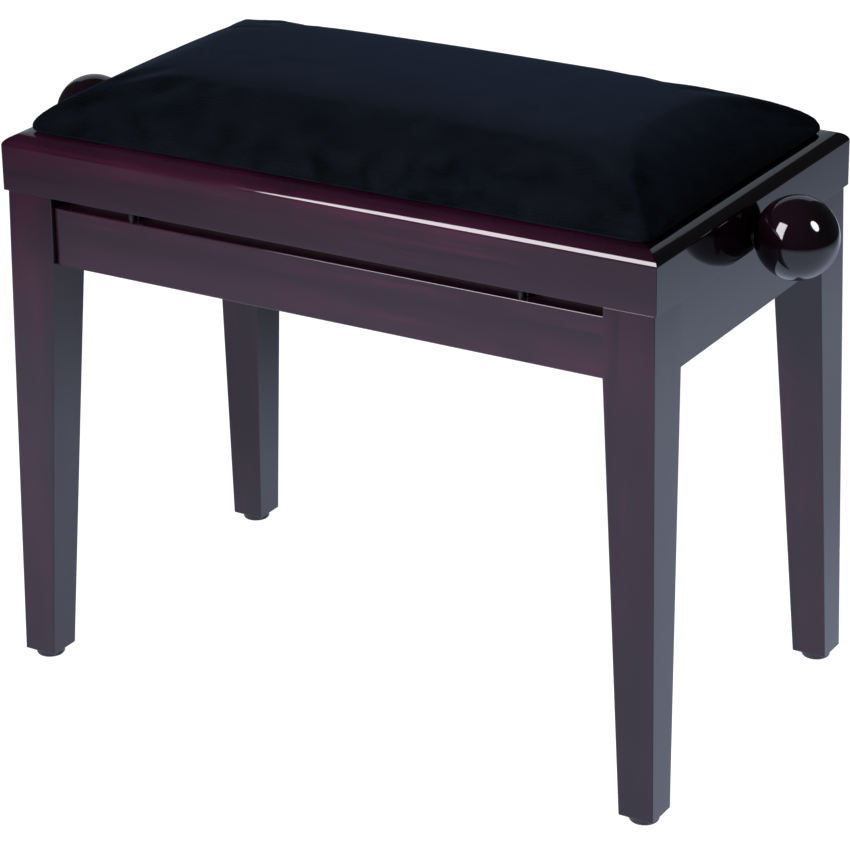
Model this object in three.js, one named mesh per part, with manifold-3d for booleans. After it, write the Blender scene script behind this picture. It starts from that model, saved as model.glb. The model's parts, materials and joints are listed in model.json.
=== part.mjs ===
// Height-adjustable piano bench: padded seat on a mitred frame, screw-driven scissor lift, four tapered legs.
// Millimetres, +Z up, X along the seat, Y from front to rear, origin on the floor under the seat's middle.
// The seat is drawn at its lowest position, resting just above the leg tops.
import * as THREE from "three";
import { mergeVertices } from "three/addons/utils/BufferGeometryUtils.js";
import Module from "manifold-3d";

const wasm = await Module();
wasm.setup();

// ---- driving dimensions -------------------------------------------------------------------------------

const SEAT_LENGTH = 560; // over the seat frame, along X
const SEAT_WIDTH = 319; // over the seat frame, along Y
const FRAME_BOTTOM = 397; // floor to the underside of the seat frame, seat down
const FRAME_HEIGHT = 44.3;
const FRAME_FACE = 35.6; // upright part of the frame's outer face, below the rounded edge
const FRAME_THICKNESS = 25;
const FRAME_EASED = 0.6; // small flat along the frame's lower outer edge
const LEG_TOP = 40.3; // section of the square leg block
const LEG_FOOT = 28.2; // section of the leg at its foot
const LEG_INSET = 2.4; // frame face to leg face at the top
const LEG_SPLAY = 6.5; // how far the outer leg faces lean out over the leg's length
const KNEE_DROP = 46; // frame underside to the start of the taper
const APRON_THICKNESS = 20;
const APRON_SETBACK = 3.6; // leg face to apron face
const APRON_DROP = 55.8; // frame underside to the lower edge of every apron
const SIDE_GAP = 1.2; // frame underside to the top of the side aprons
const LONG_GAP = 9.4; // frame underside to the top of the front and rear aprons
const GLIDE_HEIGHT = 6;
const GLIDE_RADIUS = 11.3;
const LIFT = 95; // travel of the seat

const PAD_MARGIN = 16.3; // frame face to the edge of the cushion
const PAD_EDGE = 4; // upright rim of the cushion
const PAD_ROLL = 31; // rise of the rolled edge above the rim
const PAD_ROLL_RUN = 80; // how far in from the rim the roll reaches
const PAD_DOME = 10; // extra rise at the middle
const PAD_CORNER = 14;
const BOARD_THICKNESS = 10;

const STEEL = 3; // sheet thickness of the rails
const RAIL_DEPTH = 34; // lower rails, below the top of the long aprons
const STRIP_END = 1; // clearance between that edge's strip and the legs
const TAB_WIDTH = 8;
const TAB_REACH = 12; // how far each tab lies over its apron
const TAB_SETBACK = 10.8; // rail end to the tab
const ANGLE_FLANGE = 22; // width of the upper rails' flange under the board
const ARM_THICKNESS = 4;
const ARM_WIDTH = 24;
const ARM_TO_RAIL = 2.2; // outer arms to the lower rails
const ARM_TO_FRAME = 6.5; // outer arms to the seat frame
const ARM_TO_ARM = 2; // outer arms to the inner arms
const ARM_TO_ANGLE = 3; // inner arms to the upper rails
const PIVOT_INSET = 22; // rail end to pivot
const AXLE_HEIGHT = 13; // frame underside up to the spindle and the upper pivots
const PIVOT_DROP = 34; // upper pivots down to the lower pivots, seat down
const ROD_RADIUS = 5;
const BAR_RADIUS = 9;
const SLACK = 1.8; // clearance of the pivots that the linkage leaves open
const KNOB_RADIUS = 31;
const KNOB_OUT = 30.7; // frame face to the ball's centre
const KNOB_BACK = 29.2; // ball's centre to its flat back

const BRACKET_STEEL = 2.5;
const BRACKET_HEIGHT = 34;
const BRACKET_FLANGE = 22;
const BRACKET_OFF = 9; // leg corner to the bracket's diagonal plate
const BRACKET_CLEAR = 3.3; // bracket flange to the end of the lower rail
const BRACKET_OVER = 1.3; // bracket's upper edge to the rail's strip
const BOLT_RADIUS = 4;

const GAP = 0.3; // air left between pieces that touch
const HEAD_CLEARANCE = 0.5; // leg head to the frame's underside
const ROUND = 20; // sides of the round pieces

// ---- derived levels and planes --------------------------------------------------------------------------

const HALF_L = SEAT_LENGTH / 2;
const HALF_W = SEAT_WIDTH / 2;
const LEG_BASE = GLIDE_HEIGHT + GAP;
const LEG_HEAD = FRAME_BOTTOM - HEAD_CLEARANCE;
const KNEE = FRAME_BOTTOM - KNEE_DROP;
const LEG_X = HALF_L - LEG_INSET; // outer leg faces at the top
const LEG_Y = HALF_W - LEG_INSET;
const APRON_BOTTOM = FRAME_BOTTOM - APRON_DROP;
const APRON_X = LEG_X - APRON_SETBACK - APRON_THICKNESS; // inner face of the side aprons
const APRON_Y = LEG_Y - APRON_SETBACK - APRON_THICKNESS; // inner face of the front and rear aprons
const LONG_TOP = FRAME_BOTTOM - LONG_GAP;
const FRAME_TOP = FRAME_BOTTOM + FRAME_HEIGHT;
const BOARD_TOP = FRAME_TOP - GAP;
const BOARD_BOTTOM = BOARD_TOP - BOARD_THICKNESS;
const AXLE_Z = FRAME_BOTTOM + AXLE_HEIGHT;
const PIVOT_Z = AXLE_Z - PIVOT_DROP;

const RAIL_Y = APRON_Y - GAP; // outer side of the lower rails
// The scissor stands between the lower rails, and inside the seat frame that comes down round it.
const RAIL_INSIDE = RAIL_Y - STEEL;
const FRAME_INSIDE = HALF_W - FRAME_THICKNESS;
// outer side of the outer arms
const ARM_A_FACE = Math.min(RAIL_INSIDE - ARM_TO_RAIL, FRAME_INSIDE - ARM_TO_FRAME);
const ARM_A_Y = ARM_A_FACE - ARM_THICKNESS; // inner side of the outer arms
const ARM_B_Y = ARM_A_Y - ARM_TO_ARM - ARM_THICKNESS; // inner side of the inner arms
const UPPER_Y = ARM_B_Y - ARM_TO_ANGLE; // outer side of the upper rails

// The bracket's diagonal plate crosses the corner on the line x + y = BRACKET_SUM.
const BRACKET_SUM = LEG_X - LEG_TOP + LEG_Y - LEG_TOP - BRACKET_OFF * Math.SQRT2;
const BRACKET_X = BRACKET_SUM - RAIL_Y; // where that plate meets the long apron
const RAIL_HALF = BRACKET_X - BRACKET_FLANGE - BRACKET_CLEAR;
const LEFT_PIVOT = PIVOT_INSET - RAIL_HALF;
const ARM_LENGTH = -2 * LEFT_PIVOT; // pivot to pivot
const REST_ANGLE = Math.asin(PIVOT_DROP / ARM_LENGTH);
const HIGH_ANGLE = Math.asin((PIVOT_DROP + LIFT) / ARM_LENGTH);
const RIGHT_LOW = LEFT_PIVOT + ARM_LENGTH * Math.cos(REST_ANGLE); // sliding pivots, seat down
const RIGHT_HIGH = LEFT_PIVOT + ARM_LENGTH * Math.cos(HIGH_ANGLE); // sliding pivots, seat up

// ---- materials ------------------------------------------------------------------------------------------

const material = (color, roughness, metalness) =>
  new THREE.MeshStandardMaterial({ color, roughness, metalness });
const LACQUER = material(0x2a0b1c, 0.12, 0);
const VELOUR = material(0x0c1216, 0.95, 0);
const PLYWOOD = material(0xb08d5f, 0.7, 0);
const ZINC = material(0x9a9da0, 0.35, 1);
const BLACK_STEEL = material(0x16181a, 0.4, 0);
const BRASS = material(0xb08a45, 0.3, 1);
const PLASTIC = material(0x101010, 0.5, 0);

// ---- building blocks ------------------------------------------------------------------------------------

const group = new THREE.Group();
group.name = "piano_bench";

function add(name, geometry, look) {
  const mesh = new THREE.Mesh(geometry, look);
  mesh.name = name;
  group.add(mesh);
}

// A geometry as a solid that can be cut, joined and intersected.
function solid(geometry) {
  const bare = (geometry.index ? geometry.toNonIndexed() : geometry).clone();
  const points = new THREE.BufferGeometry();
  points.setAttribute("position", bare.getAttribute("position"));
  const merged = mergeVertices(points, 1e-3);
  const index = merged.index.array;
  const kept = [];
  for (let i = 0; i < index.length; i += 3) {
    const [a, b, c] = [index[i], index[i + 1], index[i + 2]];
    if (a !== b && b !== c && c !== a) kept.push(a, b, c);
  }
  const vertProperties = merged.attributes.position.array;
  return new wasm.Manifold(
    new wasm.Mesh({ numProp: 3, vertProperties, triVerts: new Uint32Array(kept) }),
  );
}

function geometryOf(body) {
  const mesh = body.getMesh();
  const geometry = new THREE.BufferGeometry();
  geometry.setAttribute("position", new THREE.BufferAttribute(mesh.vertProperties, 3));
  geometry.setIndex(new THREE.BufferAttribute(mesh.triVerts, 1));
  const flat = geometry.toNonIndexed();
  flat.computeVertexNormals();
  return flat;
}

// A block between two opposite corners.
function block([x0, y0, z0], [x1, y1, z1]) {
  const box = new THREE.BoxGeometry(Math.abs(x1 - x0), Math.abs(y1 - y0), Math.abs(z1 - z0));
  return box.translate((x0 + x1) / 2, (y0 + y1) / 2, (z0 + z1) / 2);
}

function shapeOf(points) {
  return new THREE.Shape(points.map(([a, b]) => new THREE.Vector2(a, b)));
}

const prism = (points, depth) =>
  new THREE.ExtrudeGeometry(shapeOf(points), { depth, bevelEnabled: false });

// Outlines drawn in XZ, YZ or XY, given thickness along the third axis from one value to another.
const prismY = (points, y0, y1) =>
  prism(points, y1 - y0).rotateX(Math.PI / 2).translate(0, y1, 0);
const prismX = (points, x0, x1) =>
  prism(points, x1 - x0).rotateX(Math.PI / 2).rotateZ(Math.PI / 2).translate(x0, 0, 0);
const prismZ = (points, z0, z1) => prism(points, z1 - z0).translate(0, 0, z0);

// A turned piece: radius and position pairs along the axis, which points along +Y, +X or +Z.
const turned = (profile) =>
  new THREE.LatheGeometry(profile.map(([r, a]) => new THREE.Vector2(r, a)), ROUND);
const turnedX = (profile) => turned(profile).rotateZ(-Math.PI / 2);
const turnedZ = (profile) => turned(profile).rotateX(Math.PI / 2);

const pinY = (radius, x, z, y0, y1) =>
  new THREE.CylinderGeometry(radius, radius, y1 - y0, ROUND).translate(x, (y0 + y1) / 2, z);
const pinX = (radius, y, z, x0, x1) =>
  new THREE.CylinderGeometry(radius, radius, x1 - x0, ROUND)
    .rotateZ(-Math.PI / 2)
    .translate((x0 + x1) / 2, y, z);

// A washer or collar round an axis along Y or X.
const ringProfile = (inner, outer, from, to) => [
  [inner, from],
  [outer, from],
  [outer, to],
  [inner, to],
  [inner, from],
];

// A bar with round ends from one point of the XZ plane to another.
function barOutline([x0, z0], [x1, z1], radius) {
  const angle = Math.atan2(z1 - z0, x1 - x0);
  const points = [];
  const steps = 6;
  for (const [x, z, start] of [[x1, z1, angle - Math.PI / 2], [x0, z0, angle + Math.PI / 2]])
    for (let i = 0; i <= steps; i++) {
      const turn = start + (Math.PI * i) / steps;
      points.push([x + radius * Math.cos(turn), z + radius * Math.sin(turn)]);
    }
  return points;
}

const SIDES = [["left", -1], ["right", 1]];
const FACES = [["front", -1], ["rear", 1]];

// ---- base: legs, aprons, brackets, glides ---------------------------------------------------------------

// The leg's side view at its own corner: outer edge leaning, inner edge upright to the knee, then tapering.
function legOutline(side, outer) {
  const foot = outer + LEG_SPLAY;
  return [
    [side * outer, LEG_HEAD],
    [side * foot, LEG_BASE],
    [side * (foot - LEG_FOOT), LEG_BASE],
    [side * (outer - LEG_TOP), KNEE],
    [side * (outer - LEG_TOP), LEG_HEAD],
  ];
}

const BOLT_UP = 22; // apron's lower edge up to the bolt
const BOLT_Z = APRON_BOTTOM + BOLT_UP;
const BOLT_IN = 27; // depth of the bolt inside the leg
const BOLT_OUT = 4; // length of the bolt past its nut
const NUT_RADIUS = 7.5; // over the corners
const NUT_HEIGHT = 7;
const PLATE_FROM = BRACKET_OFF; // inwards from the leg's corner along the diagonal
const NUT_FROM = PLATE_FROM + BRACKET_STEEL + GAP;
const BOLT_END = NUT_FROM + NUT_HEIGHT + BOLT_OUT;

// Moves a piece lying along +X onto a corner's diagonal, measured inwards from the leg's inner corner.
function toCorner(geometry, sx, sy) {
  const turn = Math.atan2(-sy, -sx);
  return geometry
    .rotateZ(turn)
    .translate(sx * (LEG_X - LEG_TOP), sy * (LEG_Y - LEG_TOP), BOLT_Z);
}

for (const [side, sx] of SIDES)
  for (const [face, sy] of FACES) {
    const corner = `${face}_${side}`;
    const reach = 2 * LEG_TOP;
    const inX = [sx * LEG_X - reach, sx * LEG_X + reach];
    const inY = [sy * LEG_Y - reach, sy * LEG_Y + reach];
    const bore = toCorner(pinX(BOLT_RADIUS + GAP, 0, 0, -BOLT_IN - 1, 8), sx, sy);
    const leg = solid(prismY(legOutline(sx, LEG_X), ...inY))
      .intersect(solid(prismX(legOutline(sy, LEG_Y), ...inX)))
      .subtract(solid(bore));
    add(`leg_${corner}`, geometryOf(leg), LACQUER);

    const footX = sx * (LEG_X + LEG_SPLAY - LEG_FOOT / 2);
    const footY = sy * (LEG_Y + LEG_SPLAY - LEG_FOOT / 2);
    const bevel = 1.5;
    const glide = turnedZ([
      [0, 0],
      [GLIDE_RADIUS - bevel, 0],
      [GLIDE_RADIUS, bevel],
      [GLIDE_RADIUS, GLIDE_HEIGHT],
      [0, GLIDE_HEIGHT],
    ]);
    add(`glide_${corner}`, geometryOf(solid(glide.translate(footX, footY, 0))), PLASTIC);

    // Bent steel bracket: a flange on each apron and a plate across the corner.
    const bend = BRACKET_STEEL * Math.tan(Math.PI / 8);
    const farX = APRON_X - GAP;
    const farY = BRACKET_SUM - farX;
    const plan = [
      [BRACKET_X - BRACKET_FLANGE, RAIL_Y],
      [BRACKET_X, RAIL_Y],
      [farX, farY],
      [farX, farY - BRACKET_FLANGE],
      [farX - BRACKET_STEEL, farY - BRACKET_FLANGE],
      [farX - BRACKET_STEEL, farY - bend],
      [BRACKET_X - bend, RAIL_Y - BRACKET_STEEL],
      [BRACKET_X - BRACKET_FLANGE, RAIL_Y - BRACKET_STEEL],
    ].map(([x, y]) => [sx * x, sy * y]);
    const sheet = prismZ(plan, BOLT_Z - BRACKET_HEIGHT / 2, BOLT_Z + BRACKET_HEIGHT / 2);
    const hole = toCorner(pinX(BOLT_RADIUS + GAP, 0, 0, 0, BOLT_END), sx, sy);
    add(`corner_bracket_${corner}`, geometryOf(solid(sheet).subtract(solid(hole))), ZINC);

    const bolt = toCorner(pinX(BOLT_RADIUS, 0, 0, -BOLT_IN, BOLT_END), sx, sy);
    add(`leg_bolt_${corner}`, geometryOf(solid(bolt)), ZINC);

    const hexagon = new THREE.CylinderGeometry(NUT_RADIUS, NUT_RADIUS, NUT_HEIGHT, 6)
      .rotateZ(-Math.PI / 2)
      .translate(NUT_FROM + NUT_HEIGHT / 2, 0, 0);
    const thread = pinX(BOLT_RADIUS + GAP, 0, 0, NUT_FROM - 1, BOLT_END);
    const nut = solid(hexagon).subtract(solid(thread));
    add(`leg_nut_${corner}`, toCorner(geometryOf(nut), sx, sy), ZINC);
  }

for (const [face, sy] of FACES) {
  const end = LEG_X - LEG_TOP - GAP;
  const near = sy * APRON_Y;
  const far = sy * (APRON_Y + APRON_THICKNESS);
  add(`apron_${face}`, block([-end, near, APRON_BOTTOM], [end, far, LONG_TOP]), LACQUER);
}
for (const [side, sx] of SIDES) {
  const end = LEG_Y - LEG_TOP - GAP;
  const near = sx * APRON_X;
  const far = sx * (APRON_X + APRON_THICKNESS);
  const top = FRAME_BOTTOM - SIDE_GAP;
  add(`apron_${side}`, block([near, -end, APRON_BOTTOM], [far, end, top]), LACQUER);
}

// Lower rails: steel plates on the inside of the long aprons. A longer strip along the upper edge closes the
// gap under the seat frame from behind, and two tabs hook over the apron.
const TAB_X = RAIL_HALF - TAB_SETBACK - TAB_WIDTH / 2;
const TAB_LOW = LONG_TOP + GAP;
const STRIP_LOW = BOLT_Z + BRACKET_HEIGHT / 2 + BRACKET_OVER;
const STRIP_HALF = LEG_X - LEG_TOP - STRIP_END;
for (const [face, sy] of FACES) {
  const [y0, y1] = [sy * RAIL_Y, sy * (RAIL_Y - STEEL)].sort((a, b) => a - b);
  const cut = [Math.min(y0, y1) - 1, Math.max(y0, y1) + 1];
  const low = LONG_TOP - RAIL_DEPTH;
  const high = LEG_HEAD;
  let rail = solid(block([-RAIL_HALF, y0, low], [RAIL_HALF, y1, high]))
    .add(solid(block([-STRIP_HALF, y0, STRIP_LOW], [STRIP_HALF, y1, high])));
  for (const sx of [-1, 1]) {
    const x0 = sx * TAB_X - TAB_WIDTH / 2;
    const x1 = sx * TAB_X + TAB_WIDTH / 2;
    const [near, far] = [sy * (RAIL_Y - STEEL), sy * (APRON_Y + TAB_REACH)];
    rail = rail.add(solid(block([x0, near, TAB_LOW], [x1, far, TAB_LOW + STEEL])));
  }
  const slot = barOutline([RIGHT_HIGH, PIVOT_Z], [RIGHT_LOW, PIVOT_Z], ROD_RADIUS + SLACK);
  rail = rail
    .subtract(solid(pinY(ROD_RADIUS + GAP, LEFT_PIVOT, PIVOT_Z, ...cut)))
    .subtract(solid(prismY(slot, ...cut)));
  add(`lower_rail_${face}`, geometryOf(rail), BLACK_STEEL);
}

// ---- seat: mitred frame, board, cushion, upper rails ----------------------------------------------------

// Section of the frame: distance in from the outer face, height above the underside.
function frameSection() {
  const points = [[FRAME_EASED, 0], [0, FRAME_EASED], [0, FRAME_FACE]];
  const steps = 6;
  for (let i = 1; i <= steps; i++) {
    const turn = (Math.PI / 2) * (i / steps);
    points.push([
      PAD_MARGIN * (1 - Math.cos(turn)),
      FRAME_FACE + (FRAME_HEIGHT - FRAME_FACE) * Math.sin(turn),
    ]);
  }
  points.push([FRAME_THICKNESS, FRAME_HEIGHT], [FRAME_THICKNESS, 0]);
  return points;
}

const MITRE = GAP / Math.SQRT2; // set back of each mitre along the frame
const miteredPlan = (half, across, sign) =>
  [
    [-half + MITRE, sign * across],
    [half - MITRE, sign * across],
    [half - FRAME_THICKNESS - MITRE, sign * (across - FRAME_THICKNESS)],
    [-half + FRAME_THICKNESS + MITRE, sign * (across - FRAME_THICKNESS)],
  ];
const BUSH_RADIUS = 8;
const BUSH_FLANGE = 10;
const BUSH_PROUD = 1.1; // frame face to the outside of the flange

for (const [face, sy] of FACES) {
  const section = frameSection().map(([n, z]) => [sy * (HALF_W - n), FRAME_BOTTOM + z]);
  const ends = prismZ(miteredPlan(HALF_L, HALF_W, sy), FRAME_BOTTOM - 1, FRAME_TOP + 1);
  const rail = solid(prismX(section, -HALF_L, HALF_L)).intersect(solid(ends));
  add(`frame_${face}`, geometryOf(rail), LACQUER);
}
for (const [side, sx] of SIDES) {
  const section = frameSection().map(([n, z]) => [sx * (HALF_L - n), FRAME_BOTTOM + z]);
  const plan = miteredPlan(HALF_W, HALF_L, sx).map(([along, out]) => [out, along]);
  const ends = prismZ(plan, FRAME_BOTTOM - 1, FRAME_TOP + 1);
  const [x0, x1] = [sx * HALF_L, sx * (HALF_L - FRAME_THICKNESS)].sort((a, b) => a - b);
  const rail = solid(prismY(section, -HALF_W, HALF_W))
    .intersect(solid(ends))
    .subtract(solid(pinX(BUSH_RADIUS + GAP, 0, AXLE_Z, x0 - 1, x1 + 1)));
  add(`frame_${side}`, geometryOf(rail), LACQUER);

  // Flanged bush for the spindle.
  const bore = ROD_RADIUS + GAP;
  const bush = turnedX([
    [bore, HALF_L - FRAME_THICKNESS],
    [BUSH_RADIUS, HALF_L - FRAME_THICKNESS],
    [BUSH_RADIUS, HALF_L + GAP],
    [BUSH_FLANGE, HALF_L + GAP],
    [BUSH_FLANGE, HALF_L + BUSH_PROUD],
    [bore, HALF_L + BUSH_PROUD],
    [bore, HALF_L - FRAME_THICKNESS],
  ]);
  if (sx < 0) bush.rotateZ(Math.PI);
  add(`spindle_bush_${side}`, geometryOf(solid(bush.translate(0, 0, AXLE_Z))), BRASS);
}

const INNER_L = HALF_L - FRAME_THICKNESS - GAP;
const INNER_W = HALF_W - FRAME_THICKNESS - GAP;
add(
  "seat_board",
  block([-INNER_L, -INNER_W, BOARD_BOTTOM], [INNER_L, INNER_W, BOARD_TOP]),
  PLYWOOD,
);

// Triangular blocks glued into the frame's corners; the board is screwed down to them.
const BLOCK_LEG = 34;
const BLOCK_UP = 4; // frame's underside to the block's
for (const [side, sx] of SIDES)
  for (const [face, sy] of FACES) {
    const plan = [
      [INNER_L, INNER_W],
      [INNER_L - BLOCK_LEG, INNER_W],
      [INNER_L, INNER_W - BLOCK_LEG],
    ].map(([x, y]) => [sx * x, sy * y]);
    const wood = prismZ(plan, FRAME_BOTTOM + BLOCK_UP, BOARD_BOTTOM - GAP);
    add(`corner_block_${face}_${side}`, wood, PLYWOOD);
  }

// Cushion: a block whose outline gets round corners and whose top is raised to a rolled edge and a low dome.
function cushion() {
  const halfX = HALF_L - PAD_MARGIN;
  const halfY = HALF_W - PAD_MARGIN;
  const bottom = FRAME_TOP + GAP;
  const box = new THREE.BoxGeometry(2, 2, 1, 20, 14, 1);
  const at = box.getAttribute("position");
  // Grid lines gather towards the rim, where the surface bends most.
  const spread = (v) => Math.sign(v) * (1 - (1 - Math.abs(v)) ** 1.9);
  for (let i = 0; i < at.count; i++) {
    let x = halfX * spread(at.getX(i));
    let y = halfY * spread(at.getY(i));
    const dx = Math.abs(x) - (halfX - PAD_CORNER);
    const dy = Math.abs(y) - (halfY - PAD_CORNER);
    if (dx > 0 && dy > 0) {
      const pull = Math.max(dx, dy) / Math.hypot(dx, dy);
      x = Math.sign(x) * (halfX - PAD_CORNER + dx * pull);
      y = Math.sign(y) * (halfY - PAD_CORNER + dy * pull);
    }
    const inX = Math.max(Math.abs(x) - (halfX - PAD_CORNER), 0);
    const inY = Math.max(Math.abs(y) - (halfY - PAD_CORNER), 0);
    const rim =
      inX > 0 && inY > 0
        ? PAD_CORNER - Math.hypot(inX, inY)
        : Math.min(halfX - Math.abs(x), halfY - Math.abs(y));
    const run = 1 - Math.min(Math.max(rim, 0) / PAD_ROLL_RUN, 1);
    const dome = (1 - (x / halfX) ** 2) * (1 - (y / halfY) ** 2);
    const top = PAD_EDGE + PAD_ROLL * Math.sqrt(1 - run * run) + PAD_DOME * dome;
    at.setXYZ(i, x, y, at.getZ(i) > 0 ? bottom + top : bottom);
  }
  return geometryOf(solid(box));
}
add("seat_cushion", cushion(), VELOUR);

// Upper rails: steel angles under the board. Each has a round hole for the fixed bar
// and a slot for the moving one.
const ANGLE_UP = 1; // frame's underside to the lower edge of the upper rails
for (const [face, sy] of FACES) {
  const out = UPPER_Y;
  const [low, high] = [FRAME_BOTTOM + ANGLE_UP, BOARD_BOTTOM - GAP];
  const section = [
    [out, low],
    [out, high],
    [out - ANGLE_FLANGE, high],
    [out - ANGLE_FLANGE, high - STEEL],
    [out - STEEL, high - STEEL],
    [out - STEEL, low],
  ].map(([y, z]) => [sy * y, z]);
  const cut = [sy * (out - STEEL), sy * out].sort((a, b) => a - b);
  cut[0] -= 1;
  cut[1] += 1;
  const slot = barOutline([RIGHT_HIGH, AXLE_Z], [RIGHT_LOW, AXLE_Z], ROD_RADIUS + SLACK);
  const rail = solid(prismX(section, -RAIL_HALF, RAIL_HALF))
    .subtract(solid(pinY(ROD_RADIUS + GAP, LEFT_PIVOT, AXLE_Z, ...cut)))
    .subtract(solid(prismY(slot, ...cut)));
  add(`upper_rail_${face}`, geometryOf(rail), BLACK_STEEL);
}

// A bar across the bench with thinner journals at both ends and a bore for the spindle through its middle.
const SHOULDER_PLAY = 0.8;
function crossBar(x, journalEnd) {
  const shoulder = UPPER_Y - STEEL - SHOULDER_PLAY;
  const bar = turned([
    [0, -journalEnd],
    [ROD_RADIUS, -journalEnd],
    [ROD_RADIUS, -shoulder],
    [BAR_RADIUS, -shoulder],
    [BAR_RADIUS, shoulder],
    [ROD_RADIUS, shoulder],
    [ROD_RADIUS, journalEnd],
    [0, journalEnd],
  ]).translate(x, 0, AXLE_Z);
  const bore = pinX(ROD_RADIUS + SLACK, 0, AXLE_Z, x - 2 * BAR_RADIUS, x + 2 * BAR_RADIUS);
  return geometryOf(solid(bar).subtract(solid(bore)));
}
const CLIP = 1.2; // thickness of the retaining rings
const CLIP_RADIUS = 8;
const clipY = (x, z, y0) =>
  geometryOf(solid(turned(ringProfile(ROD_RADIUS + GAP, CLIP_RADIUS, 0, CLIP)).translate(x, y0, z)));
const ringStart = (sy, inner) => (sy > 0 ? inner : -inner - CLIP);

const RING_TO_END = 0.4; // a bar's end past its retaining ring
const FIXED_END = ARM_B_Y + ARM_THICKNESS + GAP + CLIP + RING_TO_END;
add("fixed_bar", crossBar(LEFT_PIVOT, FIXED_END), ZINC);
for (const [face, sy] of FACES) {
  const start = ringStart(sy, ARM_B_Y + ARM_THICKNESS + GAP);
  add(`fixed_bar_ring_${face}`, clipY(LEFT_PIVOT, AXLE_Z, start), ZINC);
}

// ---- spindle with its thrust collars and knobs ----------------------------------------------------------

const KNOB_X = HALF_L + KNOB_OUT;
const BORE_END = 5; // knob's centre back to the end of its bore
const SPINDLE_END = KNOB_X - BORE_END - 1;
add("spindle", geometryOf(solid(pinX(ROD_RADIUS, 0, AXLE_Z, -SPINDLE_END, SPINDLE_END))), ZINC);

const COLLAR = 7; // length of the thrust collars
const COLLAR_RADIUS = 10;
const COLLAR_PLAY = 0.5;
for (const [side, sx] of SIDES) {
  const near = BAR_RADIUS + COLLAR_PLAY;
  const from = LEFT_PIVOT + (sx > 0 ? near : -near - COLLAR);
  const collar = turnedX(ringProfile(ROD_RADIUS + GAP, COLLAR_RADIUS, from, from + COLLAR));
  add(`thrust_collar_${side}`, geometryOf(solid(collar.translate(0, 0, AXLE_Z))), ZINC);

  const bore = ROD_RADIUS + GAP;
  const back = Math.asin(KNOB_BACK / KNOB_RADIUS);
  const profile = [[0, -BORE_END], [bore, -BORE_END], [bore, -KNOB_BACK]];
  const steps = 11;
  for (let i = 0; i <= steps; i++) {
    const turn = -back + ((back + Math.PI / 2) * i) / steps;
    profile.push([i === steps ? 0 : KNOB_RADIUS * Math.cos(turn), KNOB_RADIUS * Math.sin(turn)]);
  }
  const knob = turnedX(profile).translate(KNOB_X, 0, 0);
  if (sx < 0) knob.rotateZ(Math.PI);
  add(`knob_${side}`, geometryOf(solid(knob.translate(0, 0, AXLE_Z))), LACQUER);
}

// ---- scissor arms ---------------------------------------------------------------------------------------

const lowLeft = [LEFT_PIVOT, PIVOT_Z];
const highLeft = [LEFT_PIVOT, AXLE_Z];
const lowRight = [RIGHT_LOW, PIVOT_Z];
const highRight = [RIGHT_LOW, AXLE_Z];
const middle = [(LEFT_PIVOT + RIGHT_LOW) / 2, (PIVOT_Z + AXLE_Z) / 2];

const RIVET_RADIUS = 9;
const RIVET_HEAD = 1.4;

// A flat arm between two pivots, with a third hole where the pair crosses.
function arm(from, to, inner, sy, crossHole) {
  const [y0, y1] = [sy * inner, sy * (inner + ARM_THICKNESS)].sort((a, b) => a - b);
  let body = solid(prismY(barOutline(from, to, ARM_WIDTH / 2), y0, y1));
  for (const [[x, z], radius] of [
    [from, ROD_RADIUS + GAP],
    [to, ROD_RADIUS + GAP],
    [middle, crossHole],
  ])
    body = body.subtract(solid(pinY(radius, x, z, y0 - 1, y1 + 1)));
  return geometryOf(body);
}

for (const [face, sy] of FACES) {
  add(`outer_arm_${face}`, arm(lowLeft, highRight, ARM_A_Y, sy, ROD_RADIUS + GAP), BLACK_STEEL);
  add(`inner_arm_${face}`, arm(highLeft, lowRight, ARM_B_Y, sy, ROD_RADIUS + SLACK), BLACK_STEEL);

  // Shouldered rivet through each crossing.
  const [headIn, shankIn] = [ARM_B_Y - GAP - RIVET_HEAD, ARM_B_Y - GAP];
  const [shankOut, headOut] = [ARM_A_FACE + GAP, ARM_A_FACE + GAP + RIVET_HEAD];
  const rivet = turned([
    [0, headIn],
    [RIVET_RADIUS, headIn],
    [RIVET_RADIUS, shankIn],
    [ROD_RADIUS, shankIn],
    [ROD_RADIUS, shankOut],
    [RIVET_RADIUS, shankOut],
    [RIVET_RADIUS, headOut],
    [0, headOut],
  ]);
  if (sy < 0) rivet.rotateZ(Math.PI);
  const [x, z] = middle;
  add(`crossing_rivet_${face}`, geometryOf(solid(rivet.translate(x, 0, z))), ZINC);
}

const rod = (x) => geometryOf(solid(pinY(ROD_RADIUS, x, PIVOT_Z, 0.1 - RAIL_Y, RAIL_Y - 0.1)));
add("pivot_rod_left", rod(LEFT_PIVOT), ZINC);
add("sliding_rod_right", rod(RIGHT_LOW), ZINC);

// Threaded bar that the spindle draws along, turning in the ends of the outer arms.
const MOVING_END = ARM_A_FACE + GAP + CLIP + RING_TO_END;
add("threaded_bar", crossBar(RIGHT_LOW, MOVING_END), ZINC);
for (const [face, sy] of FACES) {
  const start = ringStart(sy, ARM_A_FACE + GAP);
  add(`threaded_bar_ring_${face}`, clipY(RIGHT_LOW, AXLE_Z, start), ZINC);
}

export default group;
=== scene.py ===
# %% [markdown]
# # A height-adjustable piano bench
#
# The bench is built piece by piece over a fixed frame, the imported CAD model. Each cell makes one
# kind of piece: the polished wood, the steel lift between the legs, the padded seat, then the
# studio. The first cell loads the frame, and the last prints the box around the bench.

# %% Load the frame
import json
import math

import bmesh
import bpy
from mathutils import Matrix, Vector


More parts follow.
